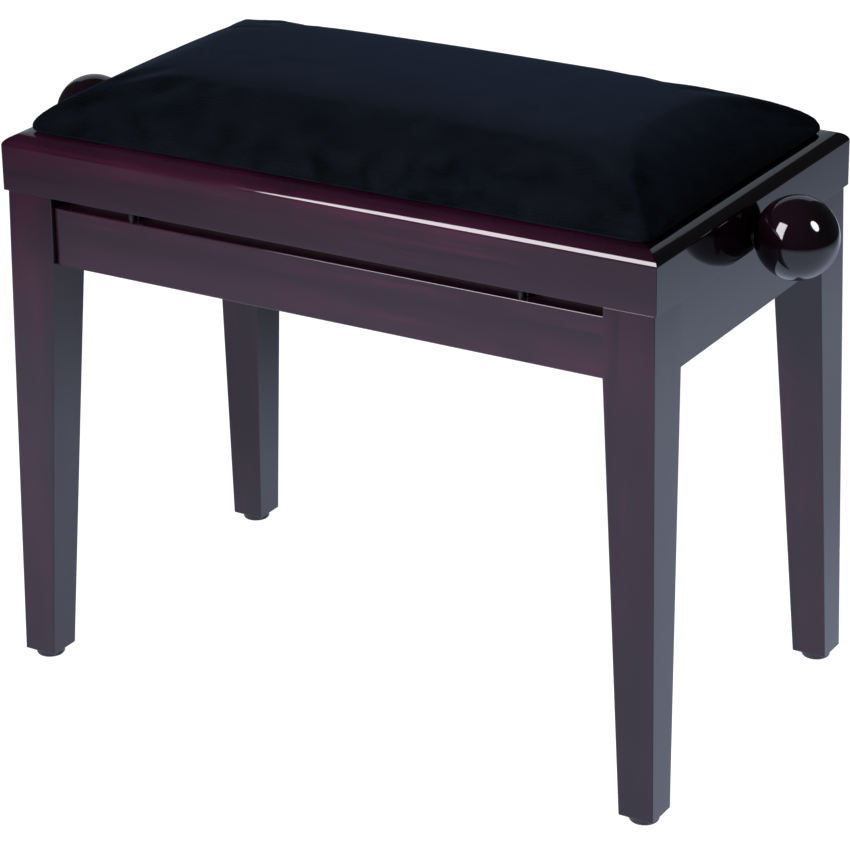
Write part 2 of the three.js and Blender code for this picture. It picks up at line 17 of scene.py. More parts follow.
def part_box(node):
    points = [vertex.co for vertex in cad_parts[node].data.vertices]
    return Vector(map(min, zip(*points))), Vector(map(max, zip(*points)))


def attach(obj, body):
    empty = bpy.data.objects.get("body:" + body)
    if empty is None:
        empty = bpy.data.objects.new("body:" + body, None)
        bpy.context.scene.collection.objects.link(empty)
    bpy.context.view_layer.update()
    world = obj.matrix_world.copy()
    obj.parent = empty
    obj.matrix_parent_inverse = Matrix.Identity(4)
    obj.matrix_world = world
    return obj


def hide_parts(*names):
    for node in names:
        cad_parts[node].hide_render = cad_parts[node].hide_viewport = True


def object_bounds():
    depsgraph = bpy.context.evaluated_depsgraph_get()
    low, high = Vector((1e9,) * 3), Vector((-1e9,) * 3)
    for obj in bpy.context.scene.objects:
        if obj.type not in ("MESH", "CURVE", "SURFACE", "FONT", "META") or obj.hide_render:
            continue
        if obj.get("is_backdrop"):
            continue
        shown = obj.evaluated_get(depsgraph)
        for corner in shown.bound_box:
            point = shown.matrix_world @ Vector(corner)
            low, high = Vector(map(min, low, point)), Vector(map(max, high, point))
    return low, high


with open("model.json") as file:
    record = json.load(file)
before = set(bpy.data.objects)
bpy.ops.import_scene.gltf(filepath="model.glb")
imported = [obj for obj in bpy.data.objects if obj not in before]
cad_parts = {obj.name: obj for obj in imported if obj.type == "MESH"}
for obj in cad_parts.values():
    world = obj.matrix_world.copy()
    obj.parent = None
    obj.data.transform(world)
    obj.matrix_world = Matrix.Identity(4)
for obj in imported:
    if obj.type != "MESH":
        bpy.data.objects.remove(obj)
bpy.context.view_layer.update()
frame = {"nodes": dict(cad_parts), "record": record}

bpy.ops.object.select_all(action="DESELECT")

# %% [markdown]
# ## Small tools for modelling
#
# An edit-mode operator acts on whatever is selected, so most mistakes are selection mistakes. These
# helpers start from an empty selection and pick vertices, edges or faces by where they are.
# MM turns a length written in millimetres into metres. The stations of a turned piece are plain
# millimetres; the camera, the studio and places across the whole bench are plain metres.

# %% Selection and editing helpers
MM = 0.001
X, Y, Z = Vector((1, 0, 0)), Vector((0, 1, 0)), Vector((0, 0, 1))


def take(piece):
    """Makes the piece the only selected and active object."""
    if bpy.context.mode != "OBJECT":
        bpy.ops.object.mode_set(mode="OBJECT")
    bpy.ops.object.select_all(action="DESELECT")
    piece.select_set(True)
    bpy.context.view_layer.objects.active = piece
    return piece


def edit(piece):
    """Opens the piece in edit mode with everything selected."""
    take(piece)
    bpy.ops.object.mode_set(mode="EDIT")
    bpy.ops.mesh.select_all(action="SELECT")


def place(element):
    """The middle of a vertex, an edge or a face."""
    if isinstance(element, bmesh.types.BMVert):
        return element.co
    return sum((v.co for v in element.verts), Vector()) / len(element.verts)


def choose(piece, kind, test):
    """In edit mode, selects the VERT, EDGE or FACE elements that pass the test."""
    bpy.ops.mesh.select_mode(type=kind)
    bpy.ops.mesh.select_all(action="DESELECT")
    mesh = bmesh.from_edit_mesh(piece.data)
    for element in {"VERT": mesh.verts, "EDGE": mesh.edges, "FACE": mesh.faces}[kind]:
        if test(element):
            element.select_set(True)
    bmesh.update_edit_mesh(piece.data)


def along(edge, axis):
    """Whether an edge runs along an axis."""
    run = edge.verts[1].co - edge.verts[0].co
    return abs(run.normalized().dot(axis)) > 0.999


def near(a, b):
    """Whether two lengths agree to a hundredth of a millimetre."""
    return abs(a - b) < 0.01 * MM


def block(name, low, high):
    """A cube primitive stretched between two corners, with its place put into its mesh."""
    low, high = Vector(low), Vector(high)
    bpy.ops.object.select_all(action="DESELECT")
    bpy.ops.mesh.primitive_cube_add(size=1, location=(low + high) / 2, scale=high - low)
    piece = bpy.context.active_object
    piece.name = name
    bpy.ops.object.transform_apply(location=True, rotation=True, scale=True)
    return piece


def apply(piece, kind, **settings):
    """Adds a modifier with its settings and applies it."""
    take(piece)
    modifier = piece.modifiers.new(kind.title(), kind)
    for setting, value in settings.items():
        setattr(modifier, setting, value)
    bpy.ops.object.modifier_apply(modifier=modifier.name)


def ease(piece, width, segments=3):
    """Rounds the sharp edges a little, then lets the large faces rule the shading."""
    apply(piece, "BEVEL", width=width, segments=segments, limit_method="ANGLE",
          angle_limit=math.radians(30), use_clamp_overlap=True)
    take(piece)
    bpy.ops.object.shade_smooth_by_angle(angle=math.radians(40))
    apply(piece, "WEIGHTED_NORMAL", keep_sharp=True)


def twin(piece, name, flip=(1, 1, 1)):
    """A copy with its own mesh, mirrored where flip holds -1."""
    take(piece)
    bpy.ops.object.duplicate()
    copy = bpy.context.active_object
    copy.name = name
    copy.scale = flip
    bpy.ops.object.transform_apply(location=True, rotation=True, scale=True)
    edit(copy)
    bpy.ops.mesh.normals_make_consistent(inside=False)
    bpy.ops.object.mode_set(mode="OBJECT")
    return copy


def cut(piece, cutter):
    """Takes the cutter's volume out of the piece and removes the cutter."""
    apply(piece, "BOOLEAN", operation="DIFFERENCE", solver="EXACT", object=cutter)
    bpy.data.objects.remove(cutter)


def turned(name, stations, at, axis, sides=48):
    """A turned bar. A disc is drawn out through (distance, radius) stations along Z by extruding
    and resizing its face, then laid from the point at along the axis."""
    stations = [(distance * MM, radius * MM) for distance, radius in stations]
    (reached, wide), *rest = stations
    bpy.ops.object.select_all(action="DESELECT")
    bpy.ops.mesh.primitive_circle_add(
        vertices=sides, radius=wide, fill_type="NGON", location=(0, 0, reached))
    piece = bpy.context.active_object
    piece.name = name
    bpy.ops.object.transform_apply(location=True, rotation=True, scale=True)
    edit(piece)
    for distance, radius in rest:
        bpy.ops.mesh.extrude_region_move(
            TRANSFORM_OT_translate={"value": (0, 0, distance - reached)})
        if radius != wide:
            size = radius / wide
            bpy.ops.transform.resize(value=(size, size, 1), center_override=(0, 0, distance))
        reached, wide = distance, radius
    bpy.ops.mesh.select_all(action="SELECT")
    bpy.ops.mesh.normals_make_consistent(inside=False)
    bpy.ops.object.mode_set(mode="OBJECT")
    piece.rotation_euler = Vector(axis).to_track_quat("Z", "Y").to_euler()
    piece.location = at
    bpy.ops.object.transform_apply(location=True, rotation=True, scale=True)
    bpy.ops.object.shade_smooth_by_angle(angle=math.radians(35))
    return piece


SIDES = {"left": -1, "right": 1}
FACES = {"front": -1, "rear": 1}
made = []


def hand_over(piece, body, look, slot, *stands_for):
    """Gives a finished piece its material, its body and the CAD nodes it stands for."""
    take(piece)
    piece.data.materials.clear()
    piece.data.materials.append(look)
    if stands_for:
        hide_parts(*stands_for)
    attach(piece, body)
    made.append(piece.name)


# %% [markdown]
# ## Camera
#
# The bench is seen from its front right corner, from above, with a long lens, so that its edges
# stay nearly parallel. The camera comes first because every later decision is judged through it.
# A small downward shift frames the legs without tilting the view further.

# %% Camera
turn = Matrix.Rotation(math.radians(31.3296), 4, "Z")
tilt = Matrix.Rotation(math.radians(90 - 20.9436), 4, "X")
roll = Matrix.Rotation(math.radians(-0.8852), 4, "Z")
bpy.ops.object.camera_add(
    location=(1.20181, -1.97623, 1.190085), rotation=(turn @ tilt @ roll).to_euler())
camera = bpy.context.active_object
camera.name = "camera"
camera.data.sensor_width = 36
camera.data.lens = 135.667
camera.data.shift_y = -0.147
bpy.context.scene.camera = camera

# %% [markdown]
# ## Materials
#
# A colour is given as an sRGB hex value, while the shader works with linear light, so one
# function converts it. Another adds a node with its settings and links, which keeps each material
# short enough to read. Patterns use Object coordinates: the pieces sit at the origin, so those are
# plain metres, and a pattern's scale is one over its size in metres.

# %% Colour and node helpers


def colour(hex_value):
    """sRGB hex to the linear colour a shader socket takes."""
    parts = [int(hex_value[i:i + 2], 16) / 255 for i in (1, 3, 5)]
    linear = [p / 12.92 if p <= 0.04045 else ((p + 0.055) / 1.055) ** 2.4 for p in parts]
    return (*linear, 1.0)


def add(tree, kind, settings=None, links=None):
    """Adds a node. A setting is a property of the node or the value of one of its inputs."""
    node = tree.nodes.new(kind)
    for key, value in (settings or {}).items():
        if isinstance(key, str) and hasattr(node, key):
            setattr(node, key, value)
        else:
            node.inputs[key].default_value = value
    for key, source in (links or {}).items():
        tree.links.new(source, node.inputs[key])
    return node


def new_look(name, **surface):
    """A material with its shader's constant values set on the sockets."""
    look = bpy.data.materials.new(name)
    look.use_nodes = True
    shader = look.node_tree.nodes["Principled BSDF"]
    for socket, value in surface.items():
        shader.inputs[socket.replace("_", " ")].default_value = value
    return look, look.node_tree, shader


# %% [markdown]
# ### Polished mahogany
#
# The wood is stained dark red mahogany under a thick coat of polyester lacquer, sanded flat and
# buffed. The eye gets a nearly black red with a very sharp reflection on it. Lacquer has an index
# of about 1.5, so a face reflects 4 % head on and far more at a glancing angle. Under it runs the
# grain: pores 0.3 mm wide, drawn as streaks about 3 mm apart so that they show. The buffing
# leaves a slow waviness a few centimetres long, and the gloss varies a little from hand contact.
# The stain varies in soft blotches about 60 mm wide. The side pieces and the knobs are given a
# darker stain than the long pieces, which was judged: painted shade for the weaker light on the
# ends and knobs.

# %% Polished mahogany, with the grain along X, Y or Z


def mahogany(name, stretch, shadow="#0c0308", pale="#200815"):
    """Lacquered wood whose grain is stretched by the given scales, between two tones of stain."""
    look, tree, shader = new_look(name, Roughness=0.06, IOR=1.5)
    where = add(tree, "ShaderNodeTexCoord")
    fibres = add(tree, "ShaderNodeMapping", {"Scale": stretch}, {"Vector": where.outputs["Object"]})
    streaks = add(tree, "ShaderNodeTexNoise", {"Scale": 1.0, "Detail": 8.0, "Roughness": 0.65},
                  {"Vector": fibres.outputs["Vector"]})
    figure = add(tree, "ShaderNodeTexNoise", {"Scale": 0.12, "Detail": 2.0, "Distortion": 0.8},
                 {"Vector": fibres.outputs["Vector"]})
    both = add(tree, "ShaderNodeMath", {"operation": "MULTIPLY"},
               {0: streaks.outputs["Fac"], 1: figure.outputs["Fac"]})
    spread = add(tree, "ShaderNodeMapRange", {"From Min": 0.12, "From Max": 0.38},
                 {"Value": both.outputs["Value"]})
    blotch = add(tree, "ShaderNodeTexNoise", {"Scale": 16.0, "Detail": 4.0, "Roughness": 0.6},
                 {"Vector": where.outputs["Object"]})
    uneven = add(tree, "ShaderNodeMapRange",
                 {"From Min": 0.35, "From Max": 0.65, "To Min": 0.3, "To Max": 1.0},
                 {"Value": blotch.outputs["Fac"]})
    depth = add(tree, "ShaderNodeMath", {"operation": "MULTIPLY"},
                {0: spread.outputs["Result"], 1: uneven.outputs["Result"]})
    stain = add(tree, "ShaderNodeMix",
                {"data_type": "RGBA", 6: colour(shadow), 7: colour(pale)},
                {0: depth.outputs["Value"]})
    tree.links.new(stain.outputs[2], shader.inputs["Base Color"])
    handled = add(tree, "ShaderNodeTexNoise", {"Scale": 22.0, "Detail": 4.0},
                  {"Vector": where.outputs["Object"]})
    gloss = add(tree, "ShaderNodeMapRange", {"To Min": 0.03, "To Max": 0.09},
                {"Value": handled.outputs["Fac"]})
    tree.links.new(gloss.outputs["Result"], shader.inputs["Roughness"])
    buffed = add(tree, "ShaderNodeTexNoise", {"Scale": 30.0, "Detail": 1.0},
                 {"Vector": where.outputs["Object"]})
    wave = add(tree, "ShaderNodeBump", {"Strength": 0.15, "Distance": 0.0004},
               {"Height": buffed.outputs["Fac"]})
    tree.links.new(wave.outputs["Normal"], shader.inputs["Normal"])
    return look


wood_lengthways = mahogany("polished_mahogany_lengthways", (9, 330, 330))
# The crossways and turned tones are darker: painted shade for the bench's ends and its knobs.
wood_crossways_shaded = mahogany("polished_mahogany_crossways_painted_shade", (330, 9, 330), "#050103", "#0f0309")
wood_upright = mahogany("polished_mahogany_upright", (330, 330, 9))
wood_turned_shaded = mahogany("polished_mahogany_turned_painted_shade", (9, 330, 330), "#060204", "#10040a")
print("mahogany grain 3 mm across, 110 mm along")

# %% [markdown]
# ### Ribbed cotton velour
#
# The seat is covered in black velour with a fine rib. Its pile is cut, so light that grazes it is
# caught by the tips of the fibres: the sheen. The ribs are about 2 mm apart, drawn at 3 mm so that
# they show, and run along the seat. They follow the cloth through the cushion's own UV map, whose
# units are metres. Sitting has pressed them flat on the top, so they stand up on the slopes only.
# The pile leans differently from place to place, which draws soft lighter and darker smudges 15 to
# 30 mm wide. The fibres are 0.02 mm thick, so the nap is drawn about 2 mm coarse.

# %% Ribbed velour
RIB = 3 * MM
velour, tree, shader = new_look(
    "black_cotton_velour", Roughness=0.95, IOR=1.45, Specular_IOR_Level=0.03,
    Sheen_Weight=0.02, Sheen_Roughness=0.45)
shader.inputs["Sheen Tint"].default_value = colour("#9cc8ff")
where = add(tree, "ShaderNodeTexCoord")
cloth = add(tree, "ShaderNodeUVMap", {"uv_map": "cloth"})
smudge = add(tree, "ShaderNodeTexNoise", {"Scale": 48.0, "Detail": 4.0, "Distortion": 0.6},
             {"Vector": where.outputs["Object"]})
nap = add(tree, "ShaderNodeTexNoise", {"Scale": 420.0, "Detail": 3.0},
          {"Vector": where.outputs["Object"]})
ribs = add(tree, "ShaderNodeTexWave",
           {"wave_type": "BANDS", "bands_direction": "Y", "Scale": math.tau / 20 / RIB,
            "Distortion": 0.6, "Detail": 1.0, "Detail Scale": 0.4},
           {"Vector": cloth.outputs["UV"]})
lean = add(tree, "ShaderNodeMapRange", {"From Min": 0.35, "From Max": 0.65},
           {"Value": smudge.outputs["Fac"]})
pile = add(tree, "ShaderNodeMix",
           {"data_type": "RGBA", 6: colour("#010202"), 7: colour("#05080b")},
           {0: lean.outputs["Result"]})
fleck = add(tree, "ShaderNodeMix",
            {"data_type": "RGBA", "blend_type": "MULTIPLY", 0: 0.8},
            {6: pile.outputs[2], 7: nap.outputs["Color"]})
tree.links.new(fleck.outputs[2], shader.inputs["Base Color"])
facing = add(tree, "ShaderNodeNewGeometry")
slope = add(tree, "ShaderNodeSeparateXYZ", {}, {0: facing.outputs["Normal"]})
worn = add(tree, "ShaderNodeMapRange",
           {"From Min": 0.78, "From Max": 0.95, "To Min": 1.0, "To Max": 0.05},
           {"Value": slope.outputs["Z"]})
shown_ribs = add(tree, "ShaderNodeMath", {"operation": "MULTIPLY"},
                 {0: ribs.outputs["Fac"], 1: worn.outputs["Result"]})
relief = add(tree, "ShaderNodeMath", {"operation": "MULTIPLY_ADD", 1: 0.5},
             {0: nap.outputs["Fac"], 2: shown_ribs.outputs["Value"]})
rise = add(tree, "ShaderNodeBump", {"Strength": 0.9, "Distance": 0.0004},
           {"Height": relief.outputs["Value"]})
tree.links.new(rise.outputs["Normal"], shader.inputs["Normal"])
print("velour ribs drawn", RIB / MM, "mm apart")

# %% [markdown]
# ### Zinc-plated steel, black enamel, brass, plywood, beech and plastic
#
# The bars, brackets and screws are steel with a bright zinc plating: a bluish white metal with a
# cloudy gloss, because the plating grows as crystals a few millimetres wide. The arms, rails and
# stop pins are stove enamelled black, with a soft, slightly uneven gloss. The spindle turns in
# bushes of brass gone dull. The board under the cushion is birch plywood with its cut grain
# showing, and the glides are black polyethylene with the fine spark-eroded texture of their mould,
# 0.4 mm grit.

# %% The plain materials


def plain(name, dark, light, grain, rough, bump, **surface):
    """Two tones mixed by a noise of the given scale, with its own roughness range and bump."""
    look, tree, shader = new_look(name, **surface)
    where = add(tree, "ShaderNodeTexCoord")
    fibres = add(tree, "ShaderNodeMapping", {"Scale": grain}, {"Vector": where.outputs["Object"]})
    noise = add(tree, "ShaderNodeTexNoise", {"Scale": 1.0, "Detail": 5.0},
                {"Vector": fibres.outputs["Vector"]})
    tone = add(tree, "ShaderNodeMix", {"data_type": "RGBA", 6: colour(dark), 7: colour(light)},
               {0: noise.outputs["Fac"]})
    gloss = add(tree, "ShaderNodeMapRange", {"To Min": rough[0], "To Max": rough[1]},
                {"Value": noise.outputs["Fac"]})
    rise = add(tree, "ShaderNodeBump", {"Strength": 0.4, "Distance": bump * MM},
               {"Height": noise.outputs["Fac"]})
    tree.links.new(tone.outputs[2], shader.inputs["Base Color"])
    tree.links.new(gloss.outputs["Result"], shader.inputs["Roughness"])
    tree.links.new(rise.outputs["Normal"], shader.inputs["Normal"])
    return look


zinc = plain("zinc_plated_steel", "#9a9fa6", "#c9ced4", (260, 260, 260), (0.22, 0.42), 0.02,
             Metallic=1.0)
brass = plain("turned_brass", "#6d5a34", "#8a744a", (40, 900, 900), (0.2, 0.35), 0.02,
              Metallic=1.0)
plywood = plain("birch_plywood", "#a98654", "#cfae7c", (14, 500, 500), (0.5, 0.7), 0.08)
beech = plain("planed_beech", "#b08a5c", "#caa578", (300, 14, 300), (0.45, 0.65), 0.06)
enamel = plain("black_stove_enamel", "#060708", "#0d0e10", (180, 180, 180), (0.3, 0.45), 0.03)
plastic = plain("black_polyethylene", "#0b0b0c", "#17171a", (2500, 2500, 2500), (0.4, 0.55), 0.05)
print(len(bpy.data.materials), "materials in the file")

# %% [markdown]
# ## Legs
#
# Each leg is a square post that stays straight under the seat and then tapers on its two inner
# faces, while its two outer faces lean out slightly all the way down. It could be lofted between
# two squares, but the knee has to stay crisp, so a cube is cut across at the knee with bisect and
# its lower corners are pushed to the foot's size. One leg is modelled and mirrored to the others.

# %% Legs
LEG_TOP = 40.3 * MM
LEG_FOOT = 28.2 * MM
LEG_SPLAY = 6.5 * MM
KNEE_DROP = 45.5 * MM  # leg top to the start of the taper

low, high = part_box("leg_rear_right")
outer_x, outer_y = high.x - LEG_SPLAY, high.y - LEG_SPLAY
knee = high.z - KNEE_DROP
leg = block("leg", (outer_x - LEG_TOP, outer_y - LEG_TOP, low.z), (outer_x, outer_y, high.z))
edit(leg)
bpy.ops.mesh.bisect(plane_co=(0, 0, knee), plane_no=Z)
splay_at_knee = LEG_SPLAY * KNEE_DROP / (high.z - low.z)
taper = LEG_SPLAY + LEG_TOP - LEG_FOOT
for axis, outer in ((X, outer_x), (Y, outer_y)):
    for level, test, push in (
        (low.z, lambda v, a=axis, o=outer: near(v.co.dot(a), o), LEG_SPLAY),
        (low.z, lambda v, a=axis, o=outer: near(v.co.dot(a), o - LEG_TOP), taper),
        (knee, lambda v, a=axis, o=outer: near(v.co.dot(a), o), splay_at_knee),
    ):
        choose(leg, "VERT", lambda v, t=test, z=level: near(v.co.z, z) and t(v))
        bpy.ops.transform.translate(value=axis * push)
bpy.ops.object.mode_set(mode="OBJECT")

for side, sx in SIDES.items():
    for face, sy in FACES.items():
        post = twin(leg, f"leg_{face}_{side}_post", (sx, sy, 1))
        ease(post, 0.8 * MM)
        hand_over(post, "base", wood_upright, "lacquered_wood", f"leg_{face}_{side}")
bpy.data.objects.remove(leg)
print("legs", round(high.z - low.z, 4), "m tall, knee at", round(knee, 4))

# %% [markdown]
# ## Aprons
#
# Four boards join the legs below the seat. The side ones reach nearly up to the frame, the long
# ones stop short to let the lift's tabs hook over them. A board's edges are sanded before
# lacquering, so each is a block with a 0.8 mm round on every edge; the round catches a fine line
# of light.

# %% Aprons
for name, look in (
    ("apron_front", wood_lengthways), ("apron_rear", wood_lengthways),
    ("apron_left", wood_crossways_shaded), ("apron_right", wood_crossways_shaded),
):
    board = block(f"{name}_board", *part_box(name))
    ease(board, 0.8 * MM)
    hand_over(board, "base", look, "lacquered_wood", name)
print("aprons done")

# %% [markdown]
# ## Seat frame
#
# The cushion sits in a frame of four mouldings that meet in mitres. Their outer face is upright for
# 35.6 mm and then rolls over to the cushion as a quarter ellipse, 16.3 mm wide and 8.7 mm high. A
# bevel makes only round profiles, so the stick is made taller, bevelled round, and the rolled part
# is then squashed in height. Bisect cuts the mitres and fills the cuts.

# %% Seat frame
FACE = 35.6 * MM
ROLL_WIDE = 16.3 * MM
ROLL_HIGH = 8.7 * MM  # FACE and this add up to the frame's height


def moulding(node, run, out):
    """A mitred stick that runs along one axis, with its outer face towards the other."""
    low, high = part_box(node)
    spring = low.z + FACE
    outer = high.dot(out)
    stick = block("stick", low, (high.x, high.y, spring + ROLL_WIDE))
    edit(stick)
    choose(stick, "EDGE", lambda e: along(e, run) and near(place(e).dot(out), outer)
           and near(place(e).z, spring + ROLL_WIDE))
    bpy.ops.mesh.bevel(offset=ROLL_WIDE, segments=20, profile=0.5, affect="EDGES")
    choose(stick, "VERT", lambda v: v.co.z > spring + 0.01 * MM)
    bpy.ops.transform.resize(
        value=(1, 1, ROLL_HIGH / ROLL_WIDE), center_override=(0, 0, spring))
    choose(stick, "EDGE", lambda e: along(e, run) and near(place(e).dot(out), outer)
           and near(place(e).z, low.z))
    bpy.ops.mesh.bevel(offset=0.6 * MM, segments=3, profile=0.5, affect="EDGES")
    for side in (-1, 1):
        bpy.ops.mesh.select_all(action="SELECT")
        bpy.ops.mesh.bisect(plane_co=run * (side * high.dot(run)) + out * outer,
                            plane_no=run * side - out, use_fill=True, clear_outer=True)
    bpy.ops.mesh.select_all(action="SELECT")
    bpy.ops.mesh.normals_make_consistent(inside=False)
    bpy.ops.object.mode_set(mode="OBJECT")
    return stick


def shade(piece, angle=40):
    """Smooth shading, sharp at the corners, with the large faces kept flat."""
    take(piece)
    bpy.ops.object.shade_smooth_by_angle(angle=math.radians(angle))
    apply(piece, "WEIGHTED_NORMAL", keep_sharp=True)


bush_low, bush_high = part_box("spindle_bush_right")
axle = (bush_low.z + bush_high.z) / 2
stick = moulding("frame_rear", X, Y)
for face, sy in FACES.items():
    piece = twin(stick, f"frame_{face}_moulding", (1, sy, 1))
    shade(piece)
    hand_over(piece, "seat", wood_lengthways, "lacquered_wood", f"frame_{face}")
bpy.data.objects.remove(stick)

stick = moulding("frame_right", Y, X)
cut(stick, turned("drill", [(-40, 8.3), (40, 8.3)], (bush_low.x, 0, axle), X))
for side, sx in SIDES.items():
    piece = twin(stick, f"frame_{side}_moulding", (sx, 1, 1))
    shade(piece)
    hand_over(piece, "seat", wood_crossways_shaded, "lacquered_wood", f"frame_{side}")
bpy.data.objects.remove(stick)
print("seat frame done, spindle axis at", round(axle, 4))

# %% [markdown]
# ## Knobs
#
# A turned ball on each end of the spindle raises and lowers the seat. A sphere primitive is laid
# with its poles on the spindle's axis, so that no pinched pole shows from the front, and bisect
# cuts a flat back that almost touches the frame. The back gets a recess for the bush by inset and
# extrude.

# %% Knobs
KNOB_RADIUS = 31 * MM
low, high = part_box("knob_right")
ball_x = high.x - KNOB_RADIUS
bpy.ops.object.select_all(action="DESELECT")
bpy.ops.mesh.primitive_uv_sphere_add(
    segments=96, ring_count=64, radius=KNOB_RADIUS, location=(ball_x, 0, axle),
    rotation=(0, math.pi / 2, 0))
ball = bpy.context.active_object
bpy.ops.object.transform_apply(location=True, rotation=True, scale=True)
edit(ball)
bpy.ops.mesh.bisect(plane_co=(low.x, 0, 0), plane_no=-X, use_fill=True, clear_outer=True)
choose(ball, "EDGE", lambda e: all(near(v.co.x, low.x) for v in e.verts))
bpy.ops.mesh.bevel(offset=0.5 * MM, segments=3, profile=0.5, affect="EDGES")
choose(ball, "FACE", lambda f: near(place(f).x, low.x) and f.normal.x < -0.99)
bpy.ops.mesh.inset(thickness=3.5 * MM)
bpy.ops.mesh.extrude_region_move(TRANSFORM_OT_translate={"value": (1.2 * MM, 0, 0)})
bpy.ops.mesh.select_all(action="SELECT")
bpy.ops.mesh.normals_make_consistent(inside=False)
bpy.ops.object.mode_set(mode="OBJECT")
for side, sx in SIDES.items():
    knob = twin(ball, f"knob_{side}_ball", (sx, 1, 1))
    take(knob)
    bpy.ops.object.shade_smooth_by_angle(angle=math.radians(30))
    hand_over(knob, "spindle", wood_turned_shaded, "lacquered_wood", f"knob_{side}")
bpy.data.objects.remove(ball)
print("knobs", KNOB_RADIUS * 2, "m across")

# %% [markdown]
# ## Glides
#
# A plastic disc nailed under each foot. It is turned: a disc is extruded upwards in steps of
# different radius, then a nail recess is cut up into its underside.

# %% Glides
low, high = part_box("glide_rear_right")
middle = (low + high) / 2
glide = turned("glide", [(0, 9.4), (0.5, 10.6), (1.5, 11.3), (5.4, 11.3), (6, 10.8)],
               (middle.x, middle.y, low.z), Z)
cut(glide, turned("recess", [(-1, 3.5), (2, 3.5)], (middle.x, middle.y, low.z), Z, 24))
for side, sx in SIDES.items():
    for face, sy in FACES.items():
        piece = twin(glide, f"glide_{face}_{side}_disc", (sx, sy, 1))
        shade(piece, 30)
        hand_over(piece, "base", plastic, "glide_plastic", f"glide_{face}_{side}")
bpy.data.objects.remove(glide)
print("glides done")

# %% [markdown]
# ## Seat board and corner blocks
#
# From below the seat shows its plywood board and the beech blocks glued into the frame's corners.
# The board has its edges broken with sandpaper. Each block is a copy of its CAD node: a CAD mesh is
# loose triangles, so the copy is first merged and its flat faces dissolved back into whole ones.

# %% Board, blocks and a helper that finishes a CAD copy


def dress(node, look, slot, body, width):
    """A merged copy of a CAD node with eased edges, standing for the node."""
    piece = bpy.data.objects.new(f"{node}_finished", frame["nodes"][node].data.copy())
    bpy.context.scene.collection.objects.link(piece)
    edit(piece)
    bpy.ops.mesh.remove_doubles(threshold=0.005 * MM)
    bpy.ops.mesh.dissolve_limited(angle_limit=math.radians(1))
    bpy.ops.object.mode_set(mode="OBJECT")
    ease(piece, width, 2)
    hand_over(piece, body, look, slot, node)
    return piece


board = block("seat_board_panel", *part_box("seat_board"))
ease(board, 0.8 * MM, 2)
hand_over(board, "seat", plywood, "plywood", "seat_board")
for side in SIDES:
    for face in FACES:
        dress(f"corner_block_{face}_{side}", beech, "plywood", "seat", 0.8 * MM)
print("board and blocks done")

# %% [markdown]
# ## The steel lift
#
# Two pairs of crossed arms carry the seat. Their plates, brackets, rails, rings and collars already
# have their true outline in CAD, so they are dressed: merged, given a small burr-free edge and
# their finish. The round bars are turned again with more sides, because a bar's outline shows its
# facets.

# %% Plates, rings and collars
for node in sorted(frame["nodes"]):
    body = next(b for b, members in frame["record"]["behaviour"]["bodies"].items()
                if node in members)
    if node.startswith(("lower_rail", "upper_rail", "outer_arm", "inner_arm")):
        dress(node, enamel, "black_steel", body, 0.35 * MM)
    elif node.startswith("corner_bracket"):
        dress(node, zinc, "zinc_steel", body, 0.35 * MM)
    elif "_ring_" in node or node.startswith(("leg_nut", "thrust_collar", "crossing_rivet")):
        dress(node, zinc, "zinc_steel", body, 0.2 * MM)
    elif node.startswith("spindle_bush"):
        dress(node, brass, "bush_brass", body, 0.15 * MM)
print("dressed", sum(name.endswith("_finished") for name in made), "pieces")

# %% [markdown]
# ## Round bars
#
# The bars are turned with a small chamfer at each end. Where the spindle passes through a cross bar
# the bar is drilled. The spindle carries a screw thread on the length that draws the moving bar
# along; a thread 10 mm across with a 2.8 mm pitch climbs so little per turn that plain rings look
# the same, so the thread is a row of stations, crest and root in turn.

# %% Bars, bolts and the spindle


def bar_stations(length, radius, chamfer=0.8):
    """A plain bar, chamfered at both ends."""
    return [(0, radius - chamfer), (chamfer, radius),
            (length - chamfer, radius), (length, radius - chamfer)]


def thread(start, end, crest, root, pitch):
    """Crest and root stations of a thread between two distances."""
    stations = []
    for i in range(int((end - start) / pitch)):
        begin = start + i * pitch
        stations += [(begin, root), (begin + 0.3 * pitch, crest),
                     (begin + 0.6 * pitch, crest), (begin + 0.9 * pitch, root)]
    return stations


for node, body in (("pivot_rod_left", "outer_arms"), ("sliding_rod_right", "inner_arms")):
    low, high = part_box(node)
    middle = (low + high) / 2
    length = (high.y - low.y) / MM
    rod = turned(f"{node}_bar", bar_stations(length, 5), (middle.x, low.y, middle.z), Y)
    hand_over(rod, body, zinc, "zinc_steel", node)

SHOULDER = 111.2  # half length of the thick part of the cross bars
for node, body in (("fixed_bar", "seat"), ("threaded_bar", "threaded_bar")):
    low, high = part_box(node)
    middle = (low + high) / 2
    half = (high.y - low.y) / MM / 2
    step = half - SHOULDER
    rod = turned(f"{node}_turned", [
        (0, 4.2), (0.8, 5), (step, 5), (step, 8.2), (step + 0.8, 9),
        (2 * half - step - 0.8, 9), (2 * half - step, 8.2), (2 * half - step, 5),
        (2 * half - 0.8, 5), (2 * half, 4.2)], (middle.x, low.y, middle.z), Y)
    cut(rod, turned("drill", [(-15, 6.8), (15, 6.8)], (middle.x, 0, middle.z), X))
    shade(rod, 35)
    hand_over(rod, body, zinc, "zinc_steel", node)

low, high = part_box("spindle")
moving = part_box("threaded_bar")
start = (moving[0].x - low.x) / MM - 30
end = (moving[1].x - low.x) / MM + 6
length = (high.x - low.x) / MM
spindle = turned("spindle_screw", [
    (0, 4.2), (0.8, 5), *[(start - 0.4, 5)], *thread(start, end, 5, 4.1, 2.8),
    (end + 0.4, 5), (length - 0.8, 5), (length, 4.2)], (low.x, 0, axle), X, 32)
hand_over(spindle, "spindle", zinc, "zinc_steel", "spindle")

